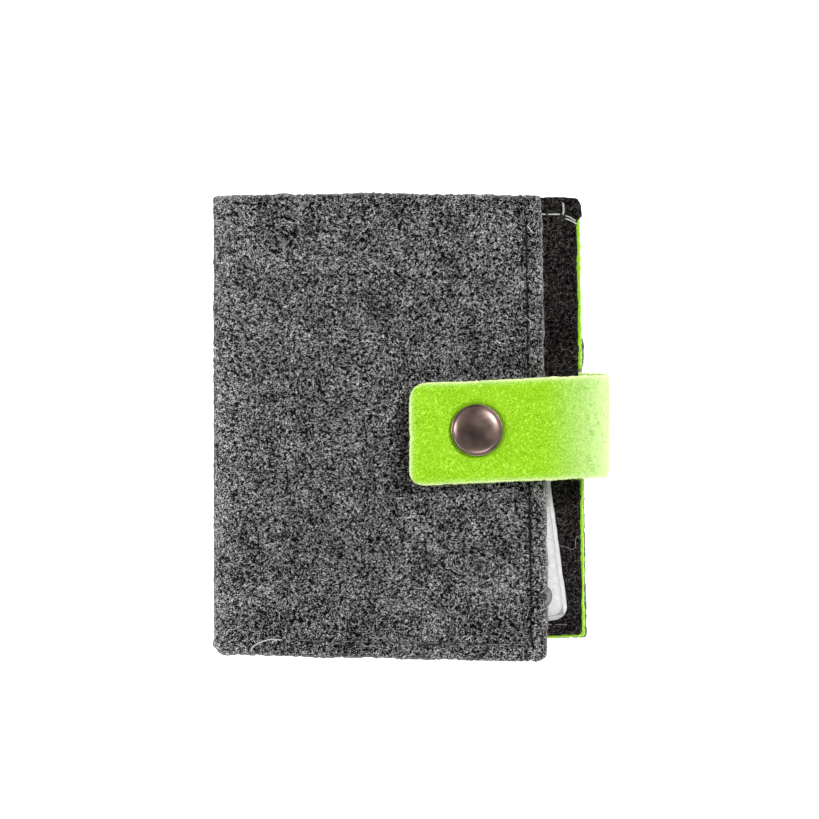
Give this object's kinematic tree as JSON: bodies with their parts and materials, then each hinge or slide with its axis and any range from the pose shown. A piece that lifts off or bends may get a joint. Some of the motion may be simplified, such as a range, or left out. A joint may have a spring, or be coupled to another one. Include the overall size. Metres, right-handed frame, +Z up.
{
  "type": "card holder",
  "caption": "Bifold felt card holder with a clear card sleeve inside, closed by a felt strap with a metal snap.",
  "frame": {"origin": "middle of the closed holder's footprint, on the surface that it lies on", "axes": "+X towards the open side with the strap's loop, +Y towards the top edge, +Z up through the front cover"},
  "size_m": [0.0948, 0.1124, 0.0201],
  "materials": {
    "grey_felt": "mottled wool felt, matte",
    "dark_felt": "near-black wool felt, matte",
    "lime_felt": "bright lime wool felt, matte",
    "dark_thread": "twisted sewing thread",
    "pale_thread": "twisted sewing thread",
    "pewter": "dark polished pewter plating",
    "steel": "plated, satin",
    "clear_plastic": "clear soft plastic film",
    "white_card": "plain white plastic card, satin"
  },
  "bodies": {
    "back": {"back_cover": "grey_felt", "back_lining": "lime_felt", "back_inner_panel": "dark_felt", "back_seam_right": "pale_thread", "back_seam_top": "pale_thread", "back_seam_bottom": "pale_thread", "strap_tail": "lime_felt", "card_sleeve": "clear_plastic"},
    "spine": {"spine": "grey_felt"},
    "front": {"front_cover": "grey_felt", "front_inner_panel": "dark_felt", "front_seam_right": "dark_thread", "front_seam_bottom": "dark_thread", "snap_stud": "steel", "snap_post": "steel"},
    "loop": {"strap_loop": "lime_felt"},
    "strap": {"strap_front": "lime_felt", "snap_cap": "pewter", "snap_socket": "steel", "snap_spring": "steel"},
    "card_1": {"card_1": "white_card"},
    "card_2": {"card_2": "white_card"},
    "card_3": {"card_3": "white_card"}
  },
  "joints": [
    {"name": "cover_open", "type": "hinge", "parent": "back", "child": "spine", "pos_m": [-0.04548, 0, 0.00197], "axis": [0, -1, 0], "range_deg": [0, 88.8], "deforming": ["spine"]},
    {"name": "cover_fold", "type": "hinge", "parent": "spine", "child": "front", "pos_m": [-0.04548, 0, 0.01138], "axis": [0, -1, 0], "range_deg": [0, 88.8], "deforming": ["spine"]},
    {"name": "strap_open", "type": "hinge", "parent": "back", "child": "loop", "pos_m": [0.04537, 0, 0.00428], "axis": [0, 1, 0], "range_deg": [0, 90], "deforming": ["strap_loop"]},
    {"name": "strap_fold", "type": "hinge", "parent": "loop", "child": "strap", "pos_m": [0.04537, 0, 0.01607], "axis": [0, 1, 0], "range_deg": [0, 90], "deforming": ["strap_loop"]},
    {"name": "card_1_slide", "type": "slide", "parent": "back", "child": "card_1", "axis": [-0.1331, 0.9911, 0], "range_m": [0, 0.06]},
    {"name": "card_2_slide", "type": "slide", "parent": "back", "child": "card_2", "axis": [-0.1331, 0.9911, 0], "range_m": [0, 0.06]},
    {"name": "card_3_slide", "type": "slide", "parent": "back", "child": "card_3", "axis": [-0.1331, 0.9911, 0], "range_m": [0, 0.06]}
  ],
  "couplings": [
    {"joint": "cover_fold", "follows": "cover_open", "ratio": 1},
    {"joint": "strap_fold", "follows": "strap_open", "ratio": 1}
  ]
}
